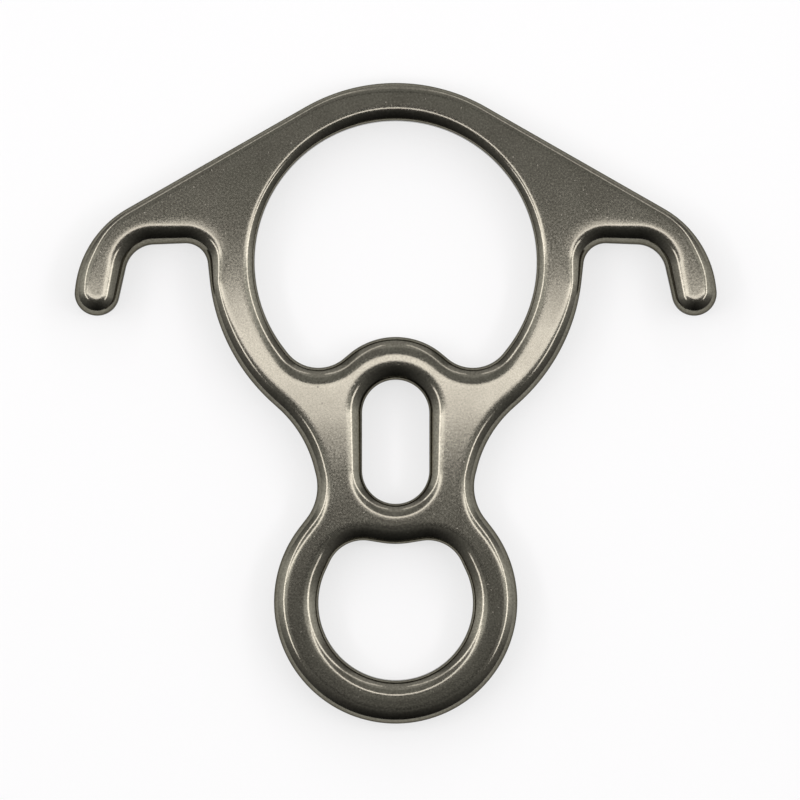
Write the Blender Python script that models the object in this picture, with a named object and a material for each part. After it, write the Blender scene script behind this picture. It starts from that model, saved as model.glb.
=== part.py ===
"""Figure eight descender with bent ears, forged in one piece.

It lies flat on z = 0 with the big ring towards +Y and the ears towards -X and +X.
Lengths are in metres. Headings are in radians, counted from +X.
"""

from collections import namedtuple
from math import asin, atan2, ceil, cos, hypot, pi, radians, sin, sqrt

import bmesh
import bpy

MM = 0.001

# Arc: centre, radius and the way it bends for someone who walks along it
Arc = namedtuple("Arc", "x y radius bend")
LEFT = 1
RIGHT = -1

# Forged plate and its rolled edge, a quarter of an ellipse towards each face
THICKNESS = 12.0 * MM
EDGE_REACH = 4.2 * MM
EDGE_DROP = 3.4 * MM
EDGE_STEPS = 4

# Outside of the right half, from the top of the crown to the foot of the small ring
CROWN = Arc(0.0, 34.8 * MM, 45.2 * MM, RIGHT)
SHOULDER = Arc(54.2 * MM, 26.0 * MM, 26.0 * MM, RIGHT)
EAR_TIP = Arc(74.6 * MM, 27.5 * MM, 5.6 * MM, RIGHT)
HOOK_OUTER_CORNER = Arc(60.2 * MM, 32.3 * MM, 7.4 * MM, LEFT)
HOOK_INNER_CORNER = Arc(52.5 * MM, 34.4 * MM, 5.6 * MM, LEFT)
BIG_RING_SIDE = Arc(-1.1 * MM, 35.7 * MM, 47.8 * MM, RIGHT)
WAIST = Arc(49.2 * MM, -23.3 * MM, 29.7 * MM, LEFT)
NECK = Arc(32.6 * MM, -20.8 * MM, 13.0 * MM, LEFT)
SMALL_RING = Arc(0.0, -49.6 * MM, 30.4 * MM, RIGHT)

# Big hole for the rope, with a lobe on each side of the bridge
BIG_HOLE = Arc(0.0, 35.4 * MM, 35.2 * MM, RIGHT)
BIG_HOLE_LOBE = Arc(19.3 * MM, 18.7 * MM, 9.8 * MM, RIGHT)
BRIDGE_TOP = Arc(0.0, -1.4 * MM, 18.0 * MM, LEFT)

# Slot through the bridge
SLOT_UPPER_END = Arc(0.0, -2.5 * MM, 8.4 * MM, RIGHT)
SLOT_LOWER_END = Arc(0.0, -16.7 * MM, 8.4 * MM, RIGHT)

# Small hole for the connector, with a lobe on each side below the bridge
BRIDGE_FOOT = Arc(0.0, -12.8 * MM, 22.3 * MM, LEFT)
SMALL_HOLE_LOBE = Arc(8.1 * MM, -43.4 * MM, 9.2 * MM, RIGHT)
SMALL_HOLE = Arc(0.0, -49.9 * MM, 19.3 * MM, RIGHT)

# How far a chord may stray from its arc, and how close two points count as one
CHORD_ERROR = 0.03 * MM
WELD_DISTANCE = 0.001 * MM

# Warm grey anodised aluminium
METAL_COLOUR = (0.22, 0.21, 0.19, 1.0)
METAL_ROUGHNESS = 0.35
SMOOTH_ANGLE = radians(40.0)


def clear_scene():
    for thing in list(bpy.data.objects):
        bpy.data.objects.remove(thing, do_unlink=True)


def joining_heading(arc, following):
    """Heading of the straight line that leaves one arc and meets the next without a corner."""
    across = following.x - arc.x
    along = following.y - arc.y
    lean = (arc.bend * arc.radius - following.bend * following.radius) / hypot(across, along)
    return atan2(along, across) + asin(lean)


def arc_points(arc, start, end):
    """Points of an arc between two headings, as far apart as the chord error allows."""
    turned = (end - start) * arc.bend % (2.0 * pi)
    steps = ceil(turned / sqrt(8.0 * CHORD_ERROR / arc.radius))
    points = []
    for step in range(steps + 1):
        heading = start + arc.bend * turned * step / steps
        x = arc.x + arc.bend * arc.radius * sin(heading)
        y = arc.y - arc.bend * arc.radius * cos(heading)
        points.append((x, y))
    return points


def outline_points(*arcs):
    """Closed outline, walked clockwise from its top on x = 0, from the arcs of its right half."""
    headings = [0.0]
    headings += [joining_heading(arc, following) for arc, following in zip(arcs, arcs[1:])]
    headings += [pi]
    right = []
    for arc, start, end in zip(arcs, headings, headings[1:]):
        right += arc_points(arc, start, end)
    left = [(-x, y) for x, y in reversed(right[1:-1])]
    return right + left


def outside():
    return outline_points(CROWN, SHOULDER, EAR_TIP, HOOK_OUTER_CORNER, HOOK_INNER_CORNER,
                          BIG_RING_SIDE, WAIST, NECK, SMALL_RING)


def big_hole():
    return outline_points(BIG_HOLE, BIG_HOLE_LOBE, BRIDGE_TOP)


def slot():
    return outline_points(SLOT_UPPER_END, SLOT_LOWER_END)


def small_hole():
    return outline_points(BRIDGE_FOOT, SMALL_HOLE_LOBE, SMALL_HOLE)


def add_spline(curve, points):
    spline = curve.splines.new("POLY")
    spline.points.add(len(points) - 1)
    for point, (x, y) in zip(spline.points, points):
        point.co = (x, y, 0.0, 1.0)
    spline.use_cyclic_u = True


def plate_curve():
    """Filled flat curve with a round edge. The roll is round here and is pressed flatter later."""
    curve = bpy.data.curves.new("plate_outline", "CURVE")
    curve.dimensions = "2D"
    curve.fill_mode = "BOTH"
    curve.extrude = (THICKNESS / 2.0 - EDGE_DROP) * EDGE_REACH / EDGE_DROP
    curve.bevel_depth = EDGE_REACH
    curve.bevel_resolution = EDGE_STEPS
    curve.offset = -EDGE_REACH
    for points in (outside(), big_hole(), slot(), small_hole()):
        add_spline(curve, points)
    return curve


def mesh_from_curve(curve, collection):
    """Closed mesh of a curve, with its loose caps welded to its sides."""
    outline = bpy.data.objects.new("plate_outline", curve)
    collection.objects.link(outline)
    depsgraph = bpy.context.evaluated_depsgraph_get()
    mesh = bpy.data.meshes.new_from_object(outline.evaluated_get(depsgraph))
    bpy.data.objects.remove(outline, do_unlink=True)
    shape = bmesh.new()
    shape.from_mesh(mesh)
    bmesh.ops.remove_doubles(shape, verts=shape.verts, dist=WELD_DISTANCE)
    bmesh.ops.recalc_face_normals(shape, faces=shape.faces)
    shape.to_mesh(mesh)
    shape.free()
    return mesh


def press_edges(mesh):
    """Flatten the round roll to its ellipse and set the plate down on z = 0."""
    shape = bmesh.new()
    shape.from_mesh(mesh)
    bmesh.ops.scale(shape, verts=shape.verts, vec=(1.0, 1.0, EDGE_DROP / EDGE_REACH))
    bmesh.ops.translate(shape, verts=shape.verts, vec=(0.0, 0.0, THICKNESS / 2.0))
    shape.to_mesh(mesh)
    shape.free()


def anodised_aluminium():
    material = bpy.data.materials.new("anodised_aluminium")
    material.use_nodes = True
    shader = material.node_tree.nodes["Principled BSDF"]
    shader.inputs["Base Color"].default_value = METAL_COLOUR
    shader.inputs["Metallic"].default_value = 1.0
    shader.inputs["Roughness"].default_value = METAL_ROUGHNESS
    return material


def descender_body(collection):
    mesh = mesh_from_curve(plate_curve(), collection)
    press_edges(mesh)
    mesh.name = "descender_body"
    mesh.shade_smooth()
    mesh.set_sharp_from_angle(angle=SMOOTH_ANGLE)
    mesh.materials.append(anodised_aluminium())
    body = bpy.data.objects.new("descender_body", mesh)
    collection.objects.link(body)
    return body


def main():
    clear_scene()
    collection = bpy.data.collections.new("figure_eight_descender")
    bpy.context.scene.collection.children.link(collection)
    descender_body(collection)


main()
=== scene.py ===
"""Figure eight descender with bent ears: one forged, tumbled and anodised aluminium body on a table."""

from collections import namedtuple
from math import asin, atan2, ceil, cos, hypot, pi, radians, sin, sqrt

import bmesh
import bpy
from bpy.props import FloatProperty, FloatVectorProperty, IntProperty, PointerProperty
from bpy.types import Operator, Panel, PropertyGroup
from mathutils import Matrix, Vector


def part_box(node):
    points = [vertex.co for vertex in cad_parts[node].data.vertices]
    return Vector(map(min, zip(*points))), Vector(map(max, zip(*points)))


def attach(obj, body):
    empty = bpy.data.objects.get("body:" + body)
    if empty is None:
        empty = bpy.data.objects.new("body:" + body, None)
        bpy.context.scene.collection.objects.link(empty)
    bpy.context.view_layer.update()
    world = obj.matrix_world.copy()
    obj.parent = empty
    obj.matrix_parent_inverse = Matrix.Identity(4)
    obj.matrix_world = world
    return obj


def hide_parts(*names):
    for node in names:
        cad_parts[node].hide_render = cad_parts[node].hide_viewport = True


bl_info = {
    "name": "Figure Eight Descender",
    "version": (1, 0, 0),
    "blender": (4, 5, 0),
    "location": "3D View > Sidebar > Descender",
    "description": "Forges and finishes a figure eight descender and sets it on a studio table",
    "category": "Object",
}

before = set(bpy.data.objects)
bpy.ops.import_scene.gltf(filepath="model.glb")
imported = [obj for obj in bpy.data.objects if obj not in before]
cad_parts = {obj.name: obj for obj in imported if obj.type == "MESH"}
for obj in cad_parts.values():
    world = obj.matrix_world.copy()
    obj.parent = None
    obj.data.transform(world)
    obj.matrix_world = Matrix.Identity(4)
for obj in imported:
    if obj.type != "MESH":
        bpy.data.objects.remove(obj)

MM = 0.001
NODE = "descender_body"
BODY = "root"
NODE_LOW, NODE_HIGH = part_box(NODE)
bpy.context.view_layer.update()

# Arcs of the right half in millimetres: centre, radius and the way it bends for someone who walks along it.
# Then come the radius of the rolled edge and, as a share of it, the radius with which the roll settles into
# the face, both for the arc's middle, or for x = 0 at the ends of an outline. Arcs that nearly share a
# centre are one arc of the outline, on which the roll changes.
Arc = namedtuple("Arc", "x y radius bend roll settle", defaults=(7.0,))
LEFT = 1
RIGHT = -1
CROWN = Arc(0.0, 34.8, 45.2, RIGHT, 2.2)
CROWN_SIDE = Arc(0.048, 34.785, 45.2, RIGHT, 1.8)
SHOULDER = Arc(54.2, 26.0, 26.0, RIGHT, 2.1)
EAR_SIDE = Arc(54.231, 25.961, 26.0, RIGHT, 3.0)
EAR_TIP = Arc(74.6, 27.5, 5.6, RIGHT, 4.2)
HOOK_OUTER_CORNER = Arc(60.2, 32.3, 7.4, LEFT, 5.0)
HOOK_INNER_CORNER = Arc(52.5, 34.4, 5.6, LEFT, 4.6, 20.0)
BIG_RING_SHOULDER = Arc(-1.092, 35.749, 47.8, RIGHT, 3.1)
BIG_RING_SIDE = Arc(-1.1, 35.7, 47.8, RIGHT, 3.6)
WAIST = Arc(49.2, -23.3, 29.7, LEFT, 3.7)
NECK = Arc(32.6, -20.8, 13.0, LEFT, 3.5)
SMALL_RING = Arc(0.0, -49.6, 30.4, RIGHT, 3.5)
BIG_HOLE_TOP = Arc(0.0, 35.4, 35.2, RIGHT, 3.9)
BIG_HOLE_SHOULDER = Arc(0.043, 35.375, 35.2, RIGHT, 3.0)
BIG_HOLE_SIDE = Arc(0.048, 35.325, 35.2, RIGHT, 3.5)
BIG_HOLE_LOBE = Arc(19.3, 18.7, 9.8, RIGHT, 4.6)
BRIDGE_TOP = Arc(0.0, -1.4, 18.0, LEFT, 4.7, 3.0)
SLOT_UPPER_END = Arc(0.0, -2.5, 8.4, RIGHT, 5.1, 3.0)
SLOT_LOWER_END = Arc(0.0, -16.7, 8.4, RIGHT, 3.9)
BRIDGE_FOOT = Arc(0.0, -12.8, 22.3, LEFT, 4.4)
SMALL_HOLE_LOBE = Arc(8.1, -43.4, 9.2, RIGHT, 4.4)
SMALL_HOLE = Arc(0.0, -49.9, 19.3, RIGHT, 4.6)

# Each outline: the side of it that the metal is on, the radius between its wall and its roll as a share of
# the roll radius, which is tighter on the holes because they are punched, and its arcs from its top on x = 0
# to its foot on x = 0.
OUTLINES = (
    (RIGHT, 1.0, (CROWN, CROWN_SIDE, SHOULDER, EAR_SIDE, EAR_TIP, HOOK_OUTER_CORNER, HOOK_INNER_CORNER,
                  BIG_RING_SHOULDER, BIG_RING_SIDE, WAIST, NECK, SMALL_RING)),
    (LEFT, 0.5, (BIG_HOLE_TOP, BIG_HOLE_SHOULDER, BIG_HOLE_SIDE, BIG_HOLE_LOBE, BRIDGE_TOP)),
    (LEFT, 0.5, (SLOT_UPPER_END, SLOT_LOWER_END)),
    (LEFT, 0.5, (BRIDGE_FOOT, SMALL_HOLE_LOBE, SMALL_HOLE)),
)

# Section of the roll: the tilts at which it goes from its corner to its round part, then to an arc that
# eases off, then to one that settles into the face, and in shares of the roll radius the radius with which
# it eases off and the level margin.
CORNER_TILT = radians(50.0)
EASE_TILT = radians(5.0)
EASE_RADIUS = 2.0
SETTLE_TILT = radians(1.8)
LEVEL_MARGIN = 0.01

# Finish: a roll is polished from the first tilt, and the peel is whole up to the second.
POLISHED_TILT = radians(25.0)
FACE_TILT = radians(6.0)
# Tint of the metal at a glancing angle, where the dyed oxide keeps it dark.
GLANCING_TINT = (0.3, 0.3, 0.3, 1.0)
# The broad waves of the tumbling, and the patches where the dye took a little more or less.
WAVE_WIDTH = 4.0 * MM
WAVE_HEIGHT = 0.001 * MM
WAVE_DETAIL = 1.0
PATCH_WIDTH = 7.0 * MM
PATCH_DETAIL = 2.0
# The peel: its detail, what it adds to the face's roughness and takes from it, and its share in the colour.
PEEL_DETAIL = 2.0
PEEL_DETAIL_STRENGTH = 0.6
PEEL_ROUGHNESS = 0.035
GRAIN_SHARE = 0.75
# Noise seldom leaves this range, which is stretched to go from 0 to 1.
NOISE_LOW = 0.3
NOISE_HIGH = 0.7
# Nicks: how far apart their places are along a nick, its length, how many times as long as it is wide it is,
# the turn of the grid of places in radians, and its roughness.
NICK_SPACING = 3.0 * MM
NICK_LENGTH = 0.7 * MM
NICK_STRETCH = 2.2
NICK_GRID_TURN = 0.6
NICK_ROUGHNESS = 0.35
# Pits: how far apart their places are, and their width.
PIT_SPACING = 4.0 * MM
PIT_WIDTH = 0.7 * MM
# A place has a mark if its random grey is below the nick level, and the mark is at full strength if the grey
# is also below the nick level divided by this. A level of 0.25 marks about 15 places in 100.
STRONG_MARK_DIVISOR = 3.0
# Lighter bare metal in the nicks, whose colour also paints the glints of their facets as painted highlights.
BARE_AND_GLINT_COLOUR = "#989488"
# Darker specks at the pits.
PIT_COLOUR = "#4a4741"

MERGE_DISTANCE = 0.0005 * MM
UP = Vector((0.0, 0.0, 1.0))

# Table: how far it reaches each way, in metres, how matt its paint is, and how much of what the camera sees
# of it is plain white paper.
TABLE_REACH = 3.0
TABLE_ROUGHNESS = 0.9
PAPER_SHARE = 0.65

# Room: how far a direction leans to +Y, from -1 to 1, and its brightness there. The near wall is dark, the
# belt overhead is the brightest, and the far wall has under half of its light. The walls come first, because
# they are the two ends that a new colour ramp has. Near straight up the lean is softened.
NEAR_WALL = (-1.0, 0.06)
FAR_WALL = (1.0, 0.9)
ROOM_LEVELS = (NEAR_WALL, FAR_WALL,
               (-0.4, 0.6), (-0.2, 1.15), (0.0, 1.95), (0.3, 2.05), (0.5, 0.8), (0.75, 0.7))
LEAN_SOFTNESS = 0.12

# Brightness at the horizon as a share of the brightness from this height up, where straight up is 1.
HORIZON_LEVEL = 0.6
HORIZON_TOP = 0.65

# The camera dims what is straight up to this share, from the first height up, and nothing below the second.
CAMERA_SHADE = 0.39
CAMERA_SHADE_START = 0.9945
CAMERA_SHADE_END = 0.985

# Lamps in metres: name, place, the point each shines at, its length and width, the point its length runs
# towards, and its brightness, where white paper has 1. A lamp at the side stands for two: it has a twin on
# the other side.
PLATE_MIDDLE = (0.0, 0.0, 0.0)
LAMPS = (
    ("bar_lamp", (0.0, 0.012, 0.40), (0.0, 0.012, 0.0), (0.46, 0.038), (1.0, 0.012, 0.40), 4.1),
    ("strip_lamp", (0.592, -0.160, 0.962), PLATE_MIDDLE, (0.395, 0.16), (0.641, 0.0, 0.857), 4.4),
    ("ear_lamp", (0.616, 0.295, 0.780), PLATE_MIDDLE, (0.613, 0.14), (0.590, 0.590, 0.700), 4.0),
    ("back_lamp", (0.377, 0.758, 0.600), PLATE_MIDDLE, (0.579, 0.13), (0.163, 0.926, 0.500), 1.6),
    ("back_card", (0.0, 1.5, 0.75), PLATE_MIDDLE, (2.2, 1.4), (1.0, 1.5, 0.75), 0.3),
)
LAMP_COLOUR = "#fffbff"

# Photograph: its middle lies over this point of the plate, and its width spans this much of it. The camera
# sees as far as this, in metres, and its sensor is in millimetres, as Blender has it.
VIEW_X = 1.08 * MM
VIEW_Y = 0.85 * MM
VIEW_WIDTH = 200.0 * MM
VIEW_END = 20.0
SENSOR_WIDTH = 36.0


def linear(hex_colour):
    """Linear colour from an sRGB hex value."""
    channels = [int(hex_colour[i:i + 2], 16) / 255.0 for i in (1, 3, 5)]
    return [c / 12.92 if c <= 0.04045 else ((c + 0.055) / 1.055) ** 2.4 for c in channels]


class BodySettings(PropertyGroup):
    """Sizes and finish of the forged body."""

    roll_size: FloatProperty(
        name="Roll Size", description="Radius of the rolled edge as a share of its own at each place",
        default=1.0, min=0.3, max=1.1)
    roll_steps: IntProperty(
        name="Roll Steps", description="Steps up the round part of the rolled edge",
        default=16, min=4, max=32)
    chord_error: FloatProperty(
        name="Chord Error", description="How far a chord may stray from its arc",
        default=0.004 * MM, min=0.001 * MM, max=0.1 * MM, unit="LENGTH", precision=6)
    dark_colour: FloatVectorProperty(
        name="Dark Colour", description="Dyed oxide where it took more dye", subtype="COLOR", size=3,
        default=linear("#636056"), min=0.0, max=1.0)
    light_colour: FloatVectorProperty(
        name="Light Colour", description="Dyed oxide where it took less dye", subtype="COLOR", size=3,
        default=linear("#858276"), min=0.0, max=1.0)
    roll_roughness: FloatProperty(
        name="Roll Roughness", description="Roughness of the polished rolls", default=0.12, min=0.0, max=1.0)
    face_roughness: FloatProperty(
        name="Face Roughness", description="Mean roughness of the faces", default=0.13, min=0.0, max=1.0)
    peel_width: FloatProperty(
        name="Peel Width", description="Width of a grain of the faces' peel",
        default=0.5 * MM, min=0.1 * MM, max=3.0 * MM, unit="LENGTH", precision=5)
    peel_height: FloatProperty(
        name="Peel Height", description="Height of the faces' peel",
        default=0.002 * MM, min=0.0, max=0.05 * MM, unit="LENGTH", precision=6)
    nick_level: FloatProperty(
        name="Nick Level", description="A place has a nick or pit if its random grey is below this",
        default=0.25, min=0.0, max=1.0)


class StageSettings(PropertyGroup):
    """The table, the room, the lamps and the camera."""

    table_colour: FloatVectorProperty(
        name="Table Colour", description="Colour of the table's paint", subtype="COLOR", size=3,
        default=linear("#fefefe"), min=0.0, max=1.0)
    room_level: FloatProperty(
        name="Room Level", description="Brightness of the room as a share of its levels",
        default=0.69, min=0.0, max=4.0)
    lamp_level: FloatProperty(
        name="Lamp Level", description="Brightness of the lamps as a share of their own",
        default=1.0, min=0.0, max=4.0)
    camera_height: FloatProperty(
        name="Camera Height", description="Height of the camera over the middle of the plate",
        default=2.5, min=0.2, max=5.0, unit="LENGTH")


def joining_heading(arc, following):
    """Heading of the straight line that leaves one arc and meets the next without a corner."""
    across = following.x - arc.x
    along = following.y - arc.y
    lean = (arc.bend * arc.radius - following.bend * following.radius) / hypot(across, along)
    return atan2(along, across) + asin(lean)


def spin_arc(mesh, arc, start, end, chord_error):
    """Spin one vertex round an arc between two headings. Returns the vertices in order."""
    turned = (end - start) * arc.bend % (2.0 * pi)
    steps = ceil(turned / sqrt(8.0 * chord_error / (arc.radius * MM)))
    centre = Vector((arc.x, arc.y, 0.0)) * MM
    spoke = Vector((sin(start), -cos(start), 0.0)) * arc.bend * arc.radius * MM
    first = mesh.verts.new(centre + spoke)
    known = len(mesh.verts)
    bmesh.ops.spin(mesh, geom=[first], cent=centre, axis=UP * arc.bend, angle=turned, steps=steps)
    mesh.verts.ensure_lookup_table()
    return [first] + mesh.verts[known:]


def between(knots, walked):
    """Values at a walked distance, which change smoothly from knot to knot."""
    for (place, *values), (next_place, *next_values) in zip(knots, knots[1:]):
        if walked <= next_place:
            share = (walked - place) / (next_place - place)
            share = share * share * (3.0 - 2.0 * share)
            return [value + (following - value) * share for value, following in zip(values, next_values)]
    return knots[-1][1:]


def wire_outline(mesh, arcs, metal_side, settings):
    """Right half of a closed outline, from its top on x = 0 to its foot on x = 0. Returns its edges.

    Each vertex stores the way into the metal twice, as long as the roll radius and as the settling one."""
    known = len(mesh.edges)
    headings = [0.0]
    headings += [joining_heading(arc, following) for arc, following in zip(arcs, arcs[1:])]
    headings += [pi]
    roll_way = mesh.verts.layers.float_vector["roll"]
    settle_way = mesh.verts.layers.float_vector["settle"]
    walked = 0.0
    reached = None
    places = []
    knots = []
    for arc, start, end in zip(arcs, headings, headings[1:]):
        entry = None
        for vertex in spin_arc(mesh, arc, start, end, settings.chord_error):
            if reached is not None:
                walked += (vertex.co - reached.co).length
            if entry is None:
                entry = walked
                if reached is not None:
                    mesh.edges.new((reached, vertex))
            centre = Vector((arc.x, arc.y, 0.0)) * MM
            inward = (vertex.co - centre).normalized() * -arc.bend * metal_side
            places.append((vertex, inward, walked))
            reached = vertex
        knots.append(((entry + walked) / 2.0, arc.roll * settings.roll_size * MM, arc.settle))
    knots[0] = (0.0, *knots[0][1:])
    knots[-1] = (walked, *knots[-1][1:])
    for vertex, inward, place in places:
        roll, settle = between(knots, place)
        vertex[roll_way] = inward * roll
        vertex[settle_way] = inward * roll * settle
    return mesh.edges[known:]


def raise_edges(mesh, edges, way, reach, rise):
    """Extrude edges, and move what is new into the metal and up by these shares of a stored way's length."""
    made = bmesh.ops.extrude_edge_only(mesh, edges=edges)["geom"]
    for vertex in made:
        if isinstance(vertex, bmesh.types.BMVert):
            vertex.co += vertex[way] * reach + UP * vertex[way].length * rise
    return [edge for edge in made if isinstance(edge, bmesh.types.BMEdge)]


def section(parts):
    """Points of a section from its wall up: reach into the metal and rise. A part goes from tilt to tilt."""
    points = [(0.0, 0.0)]
    for start, end, radius, count in parts:
        from_reach, from_rise = points[-1]
        for step in range(1, count + 1):
            tilt = start + (end - start) * step / count
            points.append((from_reach + radius * (sin(start) - sin(tilt)),
                           from_rise + radius * (cos(tilt) - cos(start))))
    return points


def roll_edge(mesh, edges, corner, steps, half_thickness):
    """Raise the wall, the roll, the band that settles into the face and a narrow level margin."""
    roll_way = mesh.verts.layers.float_vector["roll"]
    settle_way = mesh.verts.layers.float_vector["settle"]
    rolled = section(((pi / 2.0, CORNER_TILT, corner, steps // 2), (CORNER_TILT, EASE_TILT, 1.0, steps),
                      (EASE_TILT, SETTLE_TILT, EASE_RADIUS, steps // 4)))
    settled = section(((SETTLE_TILT, 0.0, 1.0, steps // 4),))
    edges = raise_edges(mesh, edges, roll_way, 0.0, 0.0)
    for vertex in {vertex for edge in edges for vertex in edge.verts}:
        vertex.co.z = half_thickness
        vertex.co.z -= vertex[roll_way].length * rolled[-1][1] + vertex[settle_way].length * settled[-1][1]
    for way, points in ((roll_way, rolled), (settle_way, settled)):
        for (reach, rise), (next_reach, next_rise) in zip(points, points[1:]):
            edges = raise_edges(mesh, edges, way, next_reach - reach, next_rise - rise)
    raise_edges(mesh, edges, roll_way, LEVEL_MARGIN, 0.0)


def forge_body(settings):
    """Raise a quarter of the plate's edge about z = 0, mirror and fill it, mirror it down and lay it flat."""
    mesh = bmesh.new()
    mesh.verts.layers.float_vector.new("roll")
    mesh.verts.layers.float_vector.new("settle")
    half_thickness = (NODE_HIGH.z - NODE_LOW.z) / 2.0
    for metal_side, corner, arcs in OUTLINES:
        edges = wire_outline(mesh, arcs, metal_side, settings)
        roll_edge(mesh, edges, corner, settings.roll_steps, half_thickness)
    bmesh.ops.mirror(mesh, geom=mesh.verts[:] + mesh.edges[:] + mesh.faces[:], axis="X",
                     merge_dist=MERGE_DISTANCE)
    bmesh.ops.remove_doubles(mesh, verts=mesh.verts, dist=MERGE_DISTANCE)
    rim_height = half_thickness - MERGE_DISTANCE
    rim = [edge for edge in mesh.edges
           if edge.is_boundary and min(vertex.co.z for vertex in edge.verts) > rim_height]
    bmesh.ops.triangle_fill(mesh, use_beauty=True, edges=rim, normal=UP)
    bmesh.ops.mirror(mesh, geom=mesh.verts[:] + mesh.edges[:] + mesh.faces[:], axis="Z",
                     merge_dist=MERGE_DISTANCE)
    bmesh.ops.remove_doubles(mesh, verts=mesh.verts, dist=MERGE_DISTANCE)
    bmesh.ops.recalc_face_normals(mesh, faces=mesh.faces)
    bmesh.ops.translate(mesh, verts=mesh.verts, vec=UP * (NODE_LOW.z + half_thickness))
    return mesh


def add_node(tree, kind, settings=None, links=None):
    """Add a node, set its properties and inputs, and link its inputs. An input goes by its name or number."""
    node = tree.nodes.new(kind)
    for name, value in (settings or {}).items():
        if isinstance(name, int) or name in node.inputs:
            node.inputs[name].default_value = value
        else:
            setattr(node, name, value)
    for name, socket in (links or {}).items():
        tree.links.new(socket, node.inputs[name])
    return node


def scatter_marks(tree, place, spacing, size, stretch, turn, level):
    """Mask of small soft-edged marks, at those cells of an uneven grid whose random grey is below a level."""
    turned = add_node(tree, "ShaderNodeMapping", {"Rotation": (0.0, 0.0, turn), "Scale": stretch},
                      {"Vector": place})
    cells = add_node(tree, "ShaderNodeTexVoronoi", {"voronoi_dimensions": "2D", "Scale": 1.0 / spacing},
                     {"Vector": turned.outputs["Vector"]})
    reach = size / 2.0 / spacing
    mark = add_node(tree, "ShaderNodeMapRange", {"From Min": reach, "From Max": 0.0},
                    {"Value": cells.outputs["Distance"]})
    drawn = add_node(tree, "ShaderNodeMapRange", {
        "From Min": level, "From Max": level / STRONG_MARK_DIVISOR}, {"Value": cells.outputs["Color"]})
    return add_node(tree, "ShaderNodeMath", {"operation": "MULTIPLY"},
                    {0: mark.outputs["Result"], 1: drawn.outputs["Result"]}).outputs["Value"]


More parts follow.
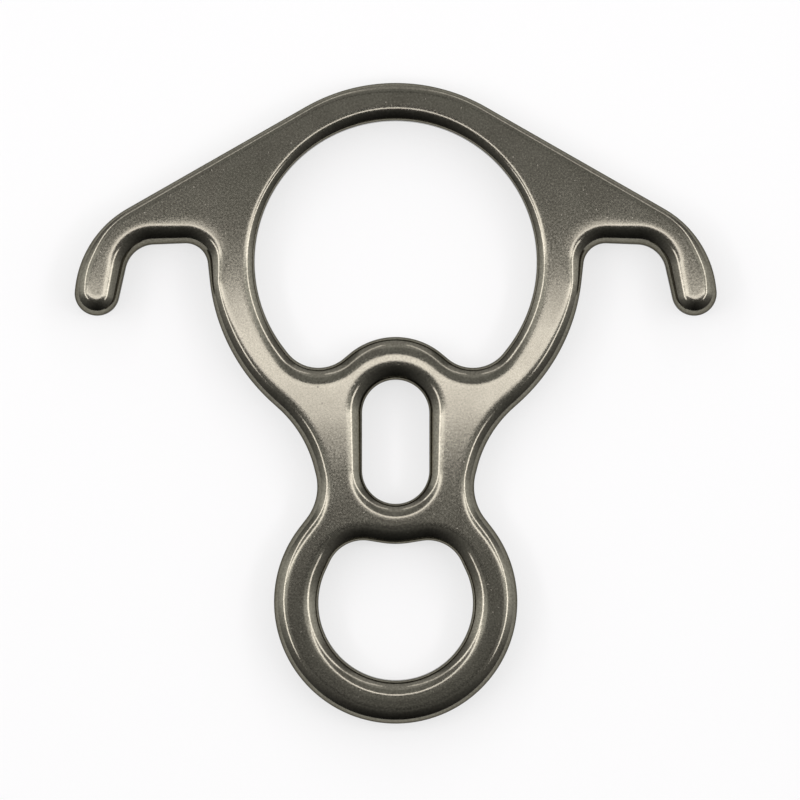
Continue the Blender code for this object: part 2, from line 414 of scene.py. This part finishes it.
def anodised_aluminium(settings):
    """Forged aluminium, tumbled and anodised warm grey.

    The thin dyed oxide leaves the shine of metal in a dark grey. The tumbled rolls are polished, so lamps
    show on them as crisp lines. The faces keep the fine peel of the forging die, which frays the edges of
    what they reflect, with a scatter of nicks and pits. The real ones may be finer than a pixel, which is a
    quarter of a millimetre, so peel, nicks and pits are drawn as coarse as they need to show."""
    material = bpy.data.materials.new("anodised_aluminium")
    material.use_nodes = True
    tree = material.node_tree
    shader = tree.nodes["Principled BSDF"]
    shader.inputs["Metallic"].default_value = 1.0
    shader.inputs["Specular Tint"].default_value = GLANCING_TINT
    where = add_node(tree, "ShaderNodeTexCoord")
    place = where.outputs["Object"]

    # Face: where the surface is level. On the rolls its peel and marks are tumbled away.
    parts = add_node(tree, "ShaderNodeSeparateXYZ", links={"Vector": where.outputs["Normal"]})
    level = add_node(tree, "ShaderNodeMath", {"operation": "ABSOLUTE"}, {0: parts.outputs["Z"]})
    face = add_node(tree, "ShaderNodeMapRange", {
        "From Min": cos(POLISHED_TILT), "From Max": cos(FACE_TILT)}, {"Value": level.outputs["Value"]})

    # Peel, waves and patches.
    peel = add_node(tree, "ShaderNodeTexNoise", {
        "Scale": 1.0 / settings.peel_width, "Detail": PEEL_DETAIL, "Roughness": PEEL_DETAIL_STRENGTH},
        {"Vector": place})
    waves = add_node(tree, "ShaderNodeTexNoise", {"Scale": 1.0 / WAVE_WIDTH, "Detail": WAVE_DETAIL},
                     {"Vector": place})
    patches = add_node(tree, "ShaderNodeTexNoise", {"Scale": 1.0 / PATCH_WIDTH, "Detail": PATCH_DETAIL},
                       {"Vector": place})
    grain = add_node(tree, "ShaderNodeMapRange", {"From Min": NOISE_LOW, "From Max": NOISE_HIGH},
                     {"Value": peel.outputs["Fac"]})
    patched = add_node(tree, "ShaderNodeMapRange", {"From Min": NOISE_LOW, "From Max": NOISE_HIGH},
                       {"Value": patches.outputs["Fac"]})

    # Nicks lie both ways and show bare metal in a lighter colour, which also stands in for the glints of
    # their facets as painted highlights. Pits are darker specks.
    across = scatter_marks(tree, place, NICK_SPACING, NICK_LENGTH, (1.0, NICK_STRETCH, 1.0),
                           NICK_GRID_TURN, settings.nick_level)
    along = scatter_marks(tree, place, NICK_SPACING, NICK_LENGTH, (NICK_STRETCH, 1.0, 1.0),
                          NICK_GRID_TURN, settings.nick_level)
    pits = scatter_marks(tree, place, PIT_SPACING, PIT_WIDTH, (1.0, 1.0, 1.0), 0.0, settings.nick_level)
    nicks = add_node(tree, "ShaderNodeMath", {"operation": "MAXIMUM"}, {0: across, 1: along})
    nicked = add_node(tree, "ShaderNodeMath", {"operation": "MULTIPLY"},
                      {0: nicks.outputs["Value"], 1: face.outputs["Result"]})
    pitted = add_node(tree, "ShaderNodeMath", {"operation": "MULTIPLY"},
                      {0: pits, 1: face.outputs["Result"]})

    # Colour.
    dye = add_node(tree, "ShaderNodeMix", {"data_type": "FLOAT", 0: GRAIN_SHARE},
                   {2: patched.outputs["Result"], 3: grain.outputs["Result"]})
    tone = add_node(tree, "ShaderNodeMix", {
        "data_type": "RGBA", 6: (*settings.dark_colour, 1.0), 7: (*settings.light_colour, 1.0)},
        {0: dye.outputs[0]})
    # Nicks: lighter bare metal, which also paints the glints of their facets as painted highlights.
    bared_and_glinting = add_node(tree, "ShaderNodeMix", {"data_type": "RGBA", 7: (*linear(BARE_AND_GLINT_COLOUR), 1.0)},
                     {0: nicked.outputs["Value"], 6: tone.outputs[2]})
    # Pits: darker specks.
    pit_darkened = add_node(tree, "ShaderNodeMix", {"data_type": "RGBA", 7: (*linear(PIT_COLOUR), 1.0)},
                        {0: pitted.outputs["Value"], 6: bared_and_glinting.outputs[2]})
    tree.links.new(pit_darkened.outputs[2], shader.inputs["Base Color"])

    # Roughness.
    peeled = add_node(tree, "ShaderNodeMapRange", {
        "To Min": settings.face_roughness - PEEL_ROUGHNESS,
        "To Max": settings.face_roughness + PEEL_ROUGHNESS}, {"Value": grain.outputs["Result"]})
    finish = add_node(tree, "ShaderNodeMix", {"data_type": "FLOAT", 2: settings.roll_roughness},
                      {0: face.outputs["Result"], 3: peeled.outputs["Result"]})
    dulled = add_node(tree, "ShaderNodeMix", {"data_type": "FLOAT", 3: NICK_ROUGHNESS},
                      {0: nicked.outputs["Value"], 2: finish.outputs[0]})
    tree.links.new(dulled.outputs[0], shader.inputs["Roughness"])

    # Relief.
    waved = add_node(tree, "ShaderNodeBump", {"Distance": WAVE_HEIGHT}, {"Height": waves.outputs["Fac"]})
    grained = add_node(tree, "ShaderNodeBump", {"Distance": settings.peel_height}, {
        "Strength": face.outputs["Result"], "Height": peel.outputs["Fac"], "Normal": waved.outputs["Normal"]})
    tree.links.new(grained.outputs["Normal"], shader.inputs["Normal"])
    return material


def finished(mesh, name, material):
    """Object at the origin from a finished bmesh."""
    data = bpy.data.meshes.new(name)
    mesh.to_mesh(data)
    mesh.free()
    data.shade_smooth()
    data.materials.append(material)
    thing = bpy.data.objects.new(name, data)
    bpy.context.scene.collection.objects.link(thing)
    return thing


class DESCENDER_OT_body(Operator):
    """Forge the body and give it its anodised finish"""

    bl_idname = "descender.body"
    bl_label = "Forged Body"

    def execute(self, context):
        settings = context.scene.descender_body
        body = finished(forge_body(settings), "forged_body", anodised_aluminium(settings))
        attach(body, BODY)
        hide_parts(NODE)
        return {"FINISHED"}


class DESCENDER_OT_stage(Operator):
    """Lay the table and set up the lamps and the camera"""

    bl_idname = "descender.stage"
    bl_label = "Studio Table"

    def execute(self, context):
        settings = context.scene.descender_stage
        lay_table(settings)
        light_room(settings)
        for name, place, aim, size, spread, radiance in LAMPS:
            for side, flip in (("left_", -1.0), ("right_", 1.0)) if place[0] else (("", 1.0),):
                flipped = Vector((flip, 1.0, 1.0))
                hang_lamp(side + name, Vector(place) * flipped, Vector(aim), size, Vector(spread) * flipped,
                          radiance * settings.lamp_level)
        set_camera(settings)
        return {"FINISHED"}


def lay_table(settings):
    """Table in matt white paint. Camera and mirror rays see it as white paper with a part of its shadows."""
    mesh = bmesh.new()
    bmesh.ops.create_grid(mesh, x_segments=1, y_segments=1, size=TABLE_REACH)
    material = bpy.data.materials.new("table_paint")
    material.use_nodes = True
    tree = material.node_tree
    shader = tree.nodes["Principled BSDF"]
    shader.inputs["Base Color"].default_value = (*settings.table_colour, 1.0)
    shader.inputs["Roughness"].default_value = TABLE_ROUGHNESS
    shader.inputs["Specular IOR Level"].default_value = 0.0
    glow = add_node(tree, "ShaderNodeEmission", {"Color": (1.0, 1.0, 1.0, 1.0), "Strength": 1.0})
    path = add_node(tree, "ShaderNodeLightPath")
    mirrored = add_node(tree, "ShaderNodeMath", {"operation": "MAXIMUM"}, {
        0: path.outputs["Is Glossy Ray"], 1: path.outputs["Is Transmission Ray"]})
    seen = add_node(tree, "ShaderNodeMath", {"operation": "MAXIMUM"}, {
        0: path.outputs["Is Camera Ray"], 1: mirrored.outputs["Value"]})
    share = add_node(tree, "ShaderNodeMath", {"operation": "MULTIPLY", 1: PAPER_SHARE},
                     {0: seen.outputs["Value"]})
    paper = add_node(tree, "ShaderNodeMixShader", links={
        0: share.outputs["Value"], 1: shader.outputs["BSDF"], 2: glow.outputs["Emission"]})
    tree.links.new(paper.outputs["Shader"], tree.nodes["Material Output"].inputs["Surface"])
    thing = finished(mesh, "table", material)


def light_room(settings):
    """Light the room in a belt from side to side overhead, less behind it and hardly on the near side."""
    world = bpy.context.scene.world or bpy.data.worlds.new("studio")
    bpy.context.scene.world = world
    world.use_nodes = True
    tree = world.node_tree
    way = add_node(tree, "ShaderNodeTexCoord")
    parts = add_node(tree, "ShaderNodeSeparateXYZ", links={"Vector": way.outputs["Generated"]})
    flat = add_node(tree, "ShaderNodeVectorMath", {"operation": "MULTIPLY", 1: (1.0, 1.0, 0.0)},
                    {0: way.outputs["Generated"]})
    length = add_node(tree, "ShaderNodeVectorMath", {"operation": "LENGTH"}, {0: flat.outputs["Vector"]})
    softened = add_node(tree, "ShaderNodeMath", {"operation": "ADD", 1: LEAN_SOFTNESS},
                        {0: length.outputs["Value"]})
    ratio = add_node(tree, "ShaderNodeMath", {"operation": "DIVIDE"},
                     {0: parts.outputs["Y"], 1: softened.outputs["Value"]})
    most = 1.0 / (1.0 + LEAN_SOFTNESS)
    lean = add_node(tree, "ShaderNodeMapRange", {"From Min": -most, "From Max": most},
                    {"Value": ratio.outputs["Value"]})
    belt = add_node(tree, "ShaderNodeValToRGB", links={"Fac": lean.outputs["Result"]})
    ramp = belt.color_ramp
    for number, (leaning, level) in enumerate(ROOM_LEVELS):
        position = (leaning + 1.0) / 2.0
        stop = ramp.elements[number] if number < 2 else ramp.elements.new(position)
        stop.position = position
        stop.color = (level, level, level, 1.0)
    shade = add_node(tree, "ShaderNodeMapRange", {
        "From Min": CAMERA_SHADE_END, "From Max": CAMERA_SHADE_START, "To Min": 1.0, "To Max": CAMERA_SHADE},
        {"Value": parts.outputs["Z"]})
    rise = add_node(tree, "ShaderNodeMapRange", {
        "From Min": 0.0, "From Max": HORIZON_TOP, "To Min": HORIZON_LEVEL, "To Max": 1.0},
        {"Value": parts.outputs["Z"]})
    both = add_node(tree, "ShaderNodeMath", {"operation": "MULTIPLY"},
                    {0: shade.outputs["Result"], 1: rise.outputs["Result"]})
    light = add_node(tree, "ShaderNodeVectorMath", {"operation": "SCALE"},
                     {"Vector": belt.outputs["Color"], "Scale": both.outputs["Value"]})
    background = tree.nodes["Background"]
    tree.links.new(light.outputs["Vector"], background.inputs["Color"])
    background.inputs["Strength"].default_value = settings.room_level


def hang_lamp(name, place, aim, size, spread, radiance):
    """Rectangular soft lamp. Its brightness is given per area, so a longer lamp is no dimmer."""
    data = bpy.data.lights.new(name, "AREA")
    data.shape = "RECTANGLE"
    data.size, data.size_y = size
    data.energy = radiance * pi * size[0] * size[1]
    data.color = linear(LAMP_COLOUR)
    thing = bpy.data.objects.new(name, data)
    back = (place - aim).normalized()
    length = (spread - place).normalized()
    length = (length - back * length.dot(back)).normalized()
    thing.matrix_world = Matrix((
        (*length,), (*back.cross(length),), (*back,))).transposed().to_4x4()
    thing.location = place
    bpy.context.scene.collection.objects.link(thing)


def set_camera(settings):
    """Camera straight over the plate, with a lens that gives the photograph's width of view."""
    data = bpy.data.cameras.new("camera")
    data.sensor_width = SENSOR_WIDTH
    data.lens = SENSOR_WIDTH * settings.camera_height / VIEW_WIDTH
    data.clip_end = VIEW_END
    thing = bpy.data.objects.new("camera", data)
    middle = (NODE_LOW.z + NODE_HIGH.z) / 2.0
    thing.location = (VIEW_X, VIEW_Y, middle + settings.camera_height)
    bpy.context.scene.collection.objects.link(thing)
    bpy.context.scene.camera = thing


class DESCENDER_PT_panel(Panel):
    """Shows the settings of the body and the stage, with the buttons that build them"""

    bl_idname = "DESCENDER_PT_panel"
    bl_label = "Descender"
    bl_space_type = "VIEW_3D"
    bl_region_type = "UI"
    bl_category = "Descender"

    def draw(self, context):
        layout = self.layout
        body = context.scene.descender_body
        for name in ("roll_size", "roll_steps", "chord_error", "dark_colour", "light_colour",
                     "roll_roughness", "face_roughness", "peel_width", "peel_height", "nick_level"):
            layout.prop(body, name)
        layout.operator("descender.body")
        stage = context.scene.descender_stage
        for name in ("table_colour", "room_level", "lamp_level", "camera_height"):
            layout.prop(stage, name)
        layout.operator("descender.stage")


CLASSES = (BodySettings, StageSettings, DESCENDER_OT_body, DESCENDER_OT_stage, DESCENDER_PT_panel)


def register():
    for cls in CLASSES:
        bpy.utils.register_class(cls)
    bpy.types.Scene.descender_body = PointerProperty(type=BodySettings)
    bpy.types.Scene.descender_stage = PointerProperty(type=StageSettings)


def unregister():
    del bpy.types.Scene.descender_stage
    del bpy.types.Scene.descender_body
    for cls in reversed(CLASSES):
        bpy.utils.unregister_class(cls)


def main():
    register()
    bpy.ops.descender.body()
    bpy.ops.descender.stage()
    bpy.context.scene.view_settings.view_transform = "Standard"


if __name__ == "__main__":
    main()
